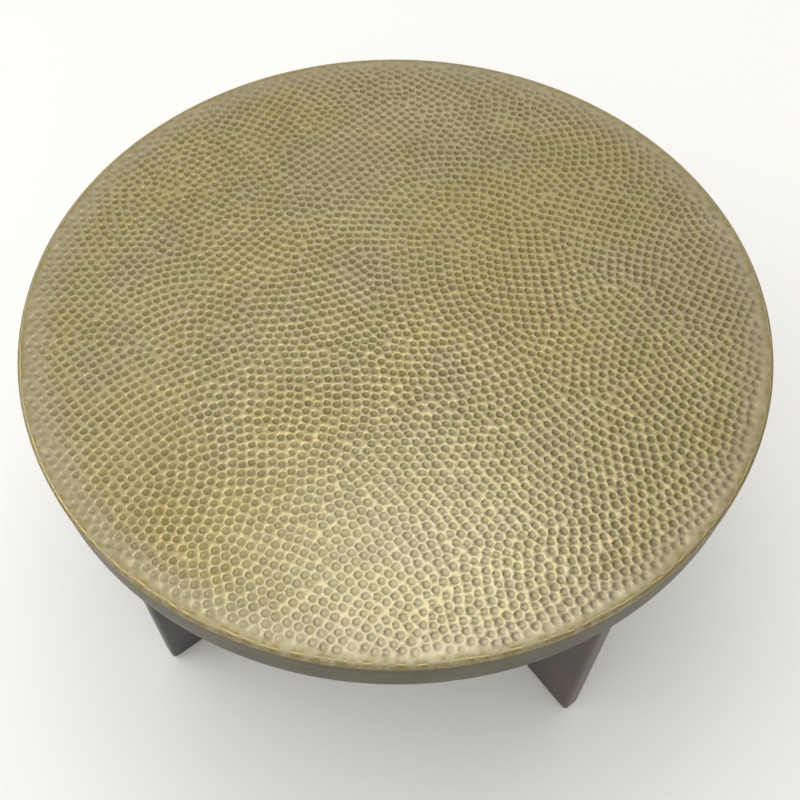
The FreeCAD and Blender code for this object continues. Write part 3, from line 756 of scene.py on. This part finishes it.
pin_brass = new_finish("brass_pins_dull")
place = add(pin_brass, "TexCoord", {})["Object"]
tarnish = add(pin_brass, "TexNoise", {"Vector": place, "Scale": 600.0, "Detail": 3.0})["Fac"]
amount = add(pin_brass, "MapRange", {"Value": tarnish, "From Min": 0.38, "From Max": 0.65})["Result"]
colour = add(pin_brass, "MixRGB", {
    "Fac": amount,
    "Color1": tint("#8F7F52"),
    "Color2": tint("#5F5334"),
})["Color"]
gloss = add(pin_brass, "MapRange", {"Value": tarnish, "To Min": 0.3, "To Max": 0.5})["Result"]
relief = add(pin_brass, "Bump", {"Height": tarnish, "Strength": 0.2, "Distance": 0.0001})["Normal"]
add(pin_brass, "OutputMaterial", {
    "Surface": add(pin_brass, "BsdfPrincipled", {
        "Base Color": colour,
        "Metallic": 1.0,
        "Roughness": gloss,
        "Normal": relief,
    })["BSDF"],
})
dress(pin, pin_brass)
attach(pin, "tray")
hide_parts("band_pins")


# ---- Hammered sheet ----------------------------------------------------------------------------------
# One round of brass sheet, hammered all over in arcs, one patch after another, then turned down over the
# edge of the core. Modelling operations can't lay thousands of touching hollows, so its face is worked out
# point by point.
SHEET_LOW, SHEET_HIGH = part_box("hammered_top_sheet")
TOP = SHEET_HIGH.z
SHEET_RADIUS = SHEET_HIGH.x
SHOULDER = 0.0035
MARK_PITCH = 0.0096
FIELD_RADIUS = 0.3700
hammer = random.Random(11)


def by_place(points):
    """A search tree that finds the nearest of some points."""
    tree = kdtree.KDTree(len(points))
    for number, point in enumerate(points):
        tree.insert((point.x, point.y, 0.0), number)
    tree.balance()
    return tree


def in_direction(angle):
    """A step of one metre on the table, at an angle from +X."""
    return Vector((math.cos(angle), math.sin(angle)))


# Each patch was hammered from where the maker stood: the blows fall in rows on arcs about the elbow. The
# slips and the spacings below are shares of a mark's pitch.
PATCHES = 30
PATCH_REACH = 0.17
ROW_SPACING = 0.96
SLIP_ALONG = 0.10
SLIP_ACROSS = 0.09
CROWDED = 0.68
patches = []
for number in range(PATCHES):
    distance = FIELD_RADIUS * math.sqrt((number + 0.5) / PATCHES)
    middle = distance * in_direction(number * math.radians(137.5) + hammer.uniform(-0.3, 0.3))
    elbow = middle + hammer.uniform(0.07, 0.24) * in_direction(hammer.uniform(0, 2 * math.pi))
    patches.append((middle, elbow, hammer.choice([0.0, 0.25, 0.5])))
patch_tree = by_place([middle for middle, elbow, stagger in patches])

marks = []
for number, (middle, elbow, stagger) in enumerate(patches):
    swing = (middle - elbow).length
    aim = math.atan2(*(middle - elbow).yx)
    first_row = max(1, int((swing - PATCH_REACH) / MARK_PITCH))
    last_row = int((swing + PATCH_REACH) / MARK_PITCH)
    for row in range(first_row, last_row + 1):
        radius = row * MARK_PITCH * ROW_SPACING
        step = MARK_PITCH / radius
        blows = min(int(PATCH_REACH / radius / step), int(math.pi / step))
        for blow in range(-blows, blows + 1):
            angle = aim + (blow + stagger * (row % 2) + hammer.gauss(0, SLIP_ALONG)) * step
            point = elbow + (radius + hammer.gauss(0, SLIP_ACROSS) * MARK_PITCH) * in_direction(angle)
            if point.length < FIELD_RADIUS and patch_tree.find((*point, 0.0))[1] == number:
                marks.append(point)

crowded = set()
mark_tree = by_place(marks)
for number, point in enumerate(marks):
    if number not in crowded:
        for place, other, gap in mark_tree.find_range((*point, 0.0), CROWDED * MARK_PITCH):
            if other > number:
                crowded.add(other)
marks = [point for number, point in enumerate(marks) if number not in crowded]


def ease_apart(points, room):
    """Moves points that stand closer than some room a little apart, and keeps them in the field."""
    tree = by_place(points)
    eased = []
    for number, point in enumerate(points):
        push = Vector((0.0, 0.0))
        for place, other, gap in tree.find_range((*point, 0.0), room):
            if gap > 0:
                push += (point - place.xy) / gap * (room - gap) * 0.35
        moved = point + push
        eased.append(moved if moved.length < FIELD_RADIUS else moved * (FIELD_RADIUS / moved.length))
    return eased


for turn in range(3):
    marks = ease_apart(marks, 0.96 * MARK_PITCH)

# Bare places between the patches get a blow too.
beyond = FIELD_RADIUS + 0.9 * MARK_PITCH
fence_posts = round(2 * math.pi * beyond / MARK_PITCH)
fence = [beyond * in_direction(2 * math.pi * number / fence_posts) for number in range(fence_posts)]
standing = marks + fence
standing_tree = by_place(standing)
bare = []
corners, edges, triangles, *rest = delaunay_2d_cdt(standing, [], [], 0, 1e-7, True)
for triangle in triangles:
    a, b, c = (corners[corner] for corner in triangle)
    twice_area = 2 * (a.x * (b.y - c.y) + b.x * (c.y - a.y) + c.x * (a.y - b.y))
    if abs(twice_area) > 1e-9:
        a_far, b_far, c_far = a.length_squared, b.length_squared, c.length_squared
        across = a_far * (b.y - c.y) + b_far * (c.y - a.y) + c_far * (a.y - b.y)
        along = a_far * (c.x - b.x) + b_far * (a.x - c.x) + c_far * (b.x - a.x)
        middle = Vector((across, along)) / twice_area
        gap = standing_tree.find((*middle, 0.0))[2]
        if middle.length < FIELD_RADIUS and gap > 0.80 * MARK_PITCH:
            bare.append((gap, middle))
extra = []
for gap, middle in sorted(bare, key=lambda found: -found[0]):
    if all((middle - other).length > 0.8 * MARK_PITCH for other in extra):
        extra.append(middle)
marks += extra
for turn in range(2):
    marks = ease_apart(marks, 0.88 * MARK_PITCH)

# Each blow of the square-faced hammer leaves a shallow hollow with round corners, a nearly flat floor and a
# wall that is steeper where the hammer leant. Neighbours crowd it out of square, and leave a narrow ridge.
MOUTH_POINTS = 8
MARK_REACH = 0.0043
MARK_DEPTH = 0.00064
RIDGE_HALF = 0.00034
NARROWEST_RIDGE_HALF = 0.00020
HAMMER_LEAN = 0.00045
LEAN_AZIMUTH = math.radians(150)
CORNER_REACH = 1.13
SIDE_REACH = 0.98
NEIGHBOUR_REACH = 0.0160
LAND_EDGE = 0.3758
LAND_POINTS = 360
WALL_SHARE = 0.78
RIM_FADE_FROM = 0.352
RIM_FADE_WIDTH = 0.018
WAVE_BASE = 0.0003
WAVE_HEIGHT = 0.0006
WAVES_PER_METRE = 7.5


def swell(x, y):
    """How far the sheet's long shallow waves lift its face here. They die away at the rim."""
    fade = max(0.0, 1.0 - (math.hypot(x, y) / LAND_EDGE) ** 6)
    wave = noise.noise((x * WAVES_PER_METRE, y * WAVES_PER_METRE, 0.4))
    return fade * (WAVE_BASE + WAVE_HEIGHT * wave)


mark_tree = by_place(marks)
flat_points = []
mouth_edges = []
mark_facts = []
for number, centre in enumerate(marks):
    face = MARK_REACH + 0.0007 * noise.noise((*(centre * 9), 5.0)) + hammer.gauss(0, 0.00030)
    ridge = max(NARROWEST_RIDGE_HALF, hammer.gauss(RIDGE_HALF, 0.00014))
    nearby = mark_tree.find_range((*centre, 0.0), NEIGHBOUR_REACH)
    around = [(place.xy - centre) for place, other, gap in nearby if gap > 0]
    first = len(flat_points)
    start = 4 * noise.noise((*(centre * 5), 2.0)) + hammer.uniform(-0.25, 0.25)
    reaches = []
    for point in range(MOUTH_POINTS):
        way = in_direction(2 * math.pi * (point + start) / MOUTH_POINTS)
        ahead = [step for step in around if step.dot(way) > 0]
        rooms = [0.5 * step.length_squared / max(step.dot(way), 1e-6) for step in ahead]
        room = min(rooms, default=face + ridge)
        corner = CORNER_REACH if point % 2 else SIDE_REACH
        reaches.append(min(face * corner * hammer.uniform(0.94, 1.06), room - ridge))
    for point in range(MOUTH_POINTS):
        beside = (reaches[point - 1] + reaches[(point + 1) % MOUTH_POINTS]) / 2
        reach = min(reaches[point], 0.7 * reaches[point] + 0.3 * beside)
        flat_points.append(centre + reach * in_direction(2 * math.pi * (point + start) / MOUTH_POINTS))
    mouth_edges += [(first + k, first + (k + 1) % MOUTH_POINTS) for k in range(MOUTH_POINTS)]
    near_rim = max(0.0, min(1.0, (centre.length - RIM_FADE_FROM) / RIM_FADE_WIDTH))
    firmness = 0.95 + 0.4 * noise.noise((*(centre * 6), 8.0))
    depth = MARK_DEPTH * firmness * hammer.uniform(0.75, 1.2) * (1.0 - near_rim * hammer.uniform(0.0, 0.8))
    mark_facts.append((centre, depth, hammer.uniform(0.72, 1.0) * (1.0 - 0.35 * near_rim)))
first = len(flat_points)
flat_points += [LAND_EDGE * in_direction(2 * math.pi * k / LAND_POINTS) for k in range(LAND_POINTS)]
mouth_edges += [(first + k, first + (k + 1) % LAND_POINTS) for k in range(LAND_POINTS)]

corners, edges, triangles, origins, *rest = delaunay_2d_cdt(flat_points, mouth_edges, [], 0, 1e-7, True)
mark_of = [found[0] // MOUTH_POINTS if found[0] < first else None for found in origins]
corner_of = {found[0]: corner for corner, found in enumerate(origins)}
vertices = [(p.x, p.y, TOP + swell(p.x, p.y)) for p in corners]
hollows = [0.0] * len(vertices)
faces = []
for triangle in triangles:
    owners = {mark_of[corner] for corner in triangle}
    if len(owners) > 1 or None in owners:
        faces.append(triangle)

for number, (centre, depth, shade) in enumerate(mark_facts):
    mouth = [corner_of[number * MOUTH_POINTS + k] for k in range(MOUTH_POINTS)]
    level = TOP + swell(*centre)
    foot = len(vertices)
    lean = HAMMER_LEAN * in_direction(LEAN_AZIMUTH + hammer.gauss(0, 0.35))
    for corner in mouth:
        x, y = centre + lean + (corners[corner] - centre) * WALL_SHARE
        vertices.append((x, y, level - 0.88 * depth))
        hollows.append(0.90 * shade)
    vertices.append((*(centre + lean), level - depth))
    hollows.append(shade)
    for k in range(MOUTH_POINTS):
        after = (k + 1) % MOUTH_POINTS
        faces.append((mouth[k], mouth[after], foot + after))
        faces.append((mouth[k], foot + after, foot + k))
        faces.append((foot + k, foot + after, foot + MOUTH_POINTS))

sheet_mesh = bpy.data.meshes.new("hammered_brass_sheet")
sheet_mesh.from_pydata(vertices, [], faces)
sheet_mesh.attributes.new("hollow", "FLOAT", "POINT").data.foreach_set("value", hollows)
hammered_sheet = bpy.data.objects.new("hammered_brass_sheet", sheet_mesh)
bpy.context.scene.collection.objects.link(hammered_sheet)

# The edge is dressed over the core: a worn bead where the sheet begins to turn, the rolled shoulder, a
# short skirt, and the flat back of the sheet.
SKIRT_EDGE = SHEET_LOW.z
GAUGE = 0.0012
BEAD_FROM = 0.3764
BEAD_TO = 0.3795
BEAD_DEPTH = 0.001
BEAD_SIDE_WANDER = 0.0012
BEAD_RISE = 0.00022
turned_edge = [(0.3766, TOP - 0.00003), (0.3772, TOP + 0.00005), (0.3778, TOP + 0.00001)]
for degrees in (70, 52, 35, 18, 0):
    lean = math.radians(degrees)
    inwards = SHOULDER * (1 - math.cos(lean))
    downwards = SHOULDER * (1 - math.sin(lean))
    turned_edge.append((SHEET_RADIUS - inwards, TOP - downwards))
turned_edge += [
    (SHEET_RADIUS - 0.00005, (TOP - SHOULDER + SKIRT_EDGE) / 2),
    (SHEET_RADIUS, SKIRT_EDGE + 0.0005),
    (SHEET_RADIUS - 0.0004, SKIRT_EDGE),
    (SHEET_RADIUS - GAUGE, SKIRT_EDGE),
    (SHEET_RADIUS - GAUGE, TOP - SHOULDER),
    (SHEET_RADIUS - SHOULDER, TOP - GAUGE),
]
bpy.context.view_layer.objects.active = hammered_sheet
hammered_sheet.select_set(True)
bpy.ops.object.mode_set(mode="EDIT")
bpy.ops.mesh.select_all(action="DESELECT")
bpy.ops.mesh.select_mode(type="EDGE")
bpy.ops.mesh.select_non_manifold()
ring_radius, ring_height = LAND_EDGE, TOP
for radius, height in turned_edge:
    bpy.ops.mesh.extrude_edges_move(TRANSFORM_OT_translate={"value": (0, 0, height - ring_height)})
    grow = radius / ring_radius
    bpy.ops.transform.resize(value=(grow, grow, 1), center_override=(0, 0, 0))
    ring_radius, ring_height = radius, height
bpy.ops.mesh.edge_face_add()
bpy.ops.mesh.select_all(action="SELECT")
bpy.ops.mesh.normals_make_consistent(inside=False)
bpy.ops.object.mode_set(mode="OBJECT")
bpy.ops.object.shade_smooth_by_angle(angle=math.radians(50))

for vertex in sheet_mesh.vertices:
    reach = vertex.co.xy.length
    if BEAD_FROM < reach < BEAD_TO and vertex.co.z > TOP - BEAD_DEPTH:
        bearing = vertex.co.xy.normalized() * 14
        vertex.co.xy *= 1 + BEAD_SIDE_WANDER * noise.noise((*bearing, 3.1))
        vertex.co.z += BEAD_RISE * noise.noise((*(bearing * 3), 7.7))
bpy.ops.object.select_all(action="DESELECT")

# Hand-hammered brass with a brown wax patina, rubbed back: the ridges are pale and polished, the hollows
# keep the patina, and the turned edge has a broken bright line, partly wear and partly painted highlight.
# One place near the front, where the overhead light is mirrored, is painted palest as a painted highlight.
PAINTED_HIGHLIGHT_PLACE = (-0.19, -0.26, TOP)
brass = new_finish("antique_brass_hammered")
place = add(brass, "TexCoord", {})["Object"]
hollow = add(brass, "Attribute", {}, attribute_name="hollow")["Fac"]
clouds = add(brass, "TexNoise", {"Vector": place, "Scale": 6.0, "Detail": 3.0, "Roughness": 0.55})["Fac"]
haze = add(brass, "TexNoise", {"Vector": place, "Scale": 11.0, "Detail": 2.0, "Distortion": 0.8})["Fac"]
mottle = add(brass, "TexNoise", {"Vector": place, "Scale": 130.0, "Detail": 4.0, "Roughness": 0.6})["Fac"]
warmth = add(brass, "MapRange", {"Value": clouds, "From Min": 0.38, "From Max": 0.62})["Result"]
ridge_tone = add(brass, "MixRGB", {
    "Fac": warmth,
    "Color1": tint("#A99D79"),
    "Color2": tint("#AA9B70"),
})["Color"]
floor_tone = add(brass, "MixRGB", {
    "Fac": warmth,
    "Color1": tint("#7D7352"),
    "Color2": tint("#80734B"),
})["Color"]
patina = add(brass, "MapRange", {"Value": hollow, "From Min": 0.05, "From Max": 0.95})["Result"]
metal = add(brass, "MixRGB", {"Fac": patina, "Color1": ridge_tone, "Color2": floor_tone})["Color"]
smudge = add(brass, "MapRange", {
    "Value": mottle,
    "From Min": 0.42,
    "From Max": 0.78,
    "To Max": 0.30,
})["Result"]
smudged = add(brass, "MixRGB", {"Fac": smudge, "Color1": metal, "Color2": tint("#7C6C45")})["Color"]
from_painted_highlight = add(brass, "VectorMath", {0: place, 1: PAINTED_HIGHLIGHT_PLACE}, operation="DISTANCE")["Value"]
dimming = add(brass, "MapRange", {"Value": haze, "From Min": 0.35, "From Max": 0.65, "To Min": 0.90,
                                  "To Max": 0.99})["Result"]
hazed = add(brass, "MixRGB", {
    "Fac": 1.0,
    "Color1": smudged,
    "Color2": dimming,
}, blend_type="MULTIPLY")["Color"]
# Painted highlight: the metal is painted paler round one spot near the front, where the overhead light's
# reflection falls.
rubbed_and_highlit = add(brass, "MapRange", {"Value": from_painted_highlight, "From Min": 0.24, "From Max": 0.04, "To Max": 0.60},
             interpolation_type="SMOOTHSTEP")["Result"]
with_painted_highlight = add(brass, "MixRGB", {"Fac": rubbed_and_highlit, "Color1": hazed, "Color2": tint("#B3AA8C")})["Color"]

# How far out and how high on the tray a point lies, and the four rings that follow from that: a zone that
# handling has greyed, the brown border, the bright line where the sheet turns over (partly wear, partly
# painted highlight), and the skirt's dark foot (patina, and painted shade where it overhangs the band).
BRIGHT_LINE_OF_WEAR_AND_HIGHLIGHT = 0.3781
flat_place = add(brass, "Mapping", {"Vector": place, "Scale": (1.0, 1.0, 0.0)})["Vector"]
reach = add(brass, "VectorMath", {"Vector": flat_place}, operation="LENGTH")["Value"]
height = add(brass, "SeparateXYZ", {"Vector": place})["Z"]
wander = add(brass, "TexNoise", {"Vector": place, "Scale": 38.0, "Detail": 3.0})["Fac"]
wavering = add(brass, "MapRange", {"Value": wander, "To Min": -0.0022, "To Max": 0.0022})["Result"]
reach_here = add(brass, "Math", {0: reach, 1: wavering}, operation="ADD")["Value"]
handled = add(brass, "MapRange", {
    "Value": reach_here,
    "From Min": 0.335,
    "From Max": 0.372,
    "To Max": 0.45,
}, interpolation_type="SMOOTHSTEP")["Result"]
greyed = add(brass, "MixRGB", {"Fac": handled, "Color1": with_painted_highlight, "Color2": tint("#958E7C")})["Color"]
border = add(brass, "MapRange", {
    "Value": reach_here,
    "From Min": FIELD_RADIUS,
    "From Max": 0.3765,
})["Result"]
stains = add(brass, "MapRange", {"Value": mottle, "From Min": 0.40, "From Max": 0.58})["Result"]
stained_border = add(brass, "Math", {0: border, 1: stains}, operation="MULTIPLY")["Value"]
browned = add(brass, "MixRGB", {
    "Fac": stained_border,
    "Color1": greyed,
    "Color2": tint("#8C7E54"),
})["Color"]
# The broken bright line where the sheet turns over is partly wear and partly a painted highlight of the
# tight bend catching the overhead light.
off_line = add(brass, "Math", {0: reach_here, 1: BRIGHT_LINE_OF_WEAR_AND_HIGHLIGHT}, operation="SUBTRACT")["Value"]
from_line = add(brass, "Math", {0: off_line}, operation="ABSOLUTE")["Value"]
line = add(brass, "MapRange", {"Value": from_line, "From Min": 0.0007, "From Max": 0.0002})["Result"]
broken = add(brass, "MapRange", {"Value": mottle, "From Min": 0.44, "From Max": 0.56})["Result"]
worn_and_highlit = add(brass, "Math", {0: line, 1: broken}, operation="MULTIPLY")["Value"]
lined = add(brass, "MixRGB", {"Fac": worn_and_highlit, "Color1": browned, "Color2": tint("#C9BB8E")})["Color"]
# The skirt's foot is painted darker: patina, and painted shade where the turned edge overhangs the band.
skirt_foot_patina_and_shade = add(brass, "MapRange", {"Value": height, "From Min": 0.4275, "From Max": 0.4215})["Result"]
colour = add(brass, "MixRGB", {"Fac": skirt_foot_patina_and_shade, "Color1": lined, "Color2": tint("#565032")})["Color"]
satin = add(brass, "MapRange", {"Value": patina, "To Min": 0.34, "To Max": 0.44})["Result"]
gloss = add(brass, "MixRGB", {"Fac": border, "Color1": satin, "Color2": (0.52, 0.52, 0.52, 1.0)})["Color"]
grain = add(brass, "TexNoise", {"Vector": place, "Scale": 700.0, "Detail": 2.0})["Fac"]
relief = add(brass, "Bump", {"Height": grain, "Strength": 0.15, "Distance": 0.0001})["Normal"]
add(brass, "OutputMaterial", {
    "Surface": add(brass, "BsdfPrincipled", {
        "Base Color": colour,
        "Metallic": 1.0,
        "Roughness": gloss,
        "Normal": relief,
    })["BSDF"],
})
dress(hammered_sheet, brass)
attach(hammered_sheet, "tray")
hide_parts("hammered_top_sheet")
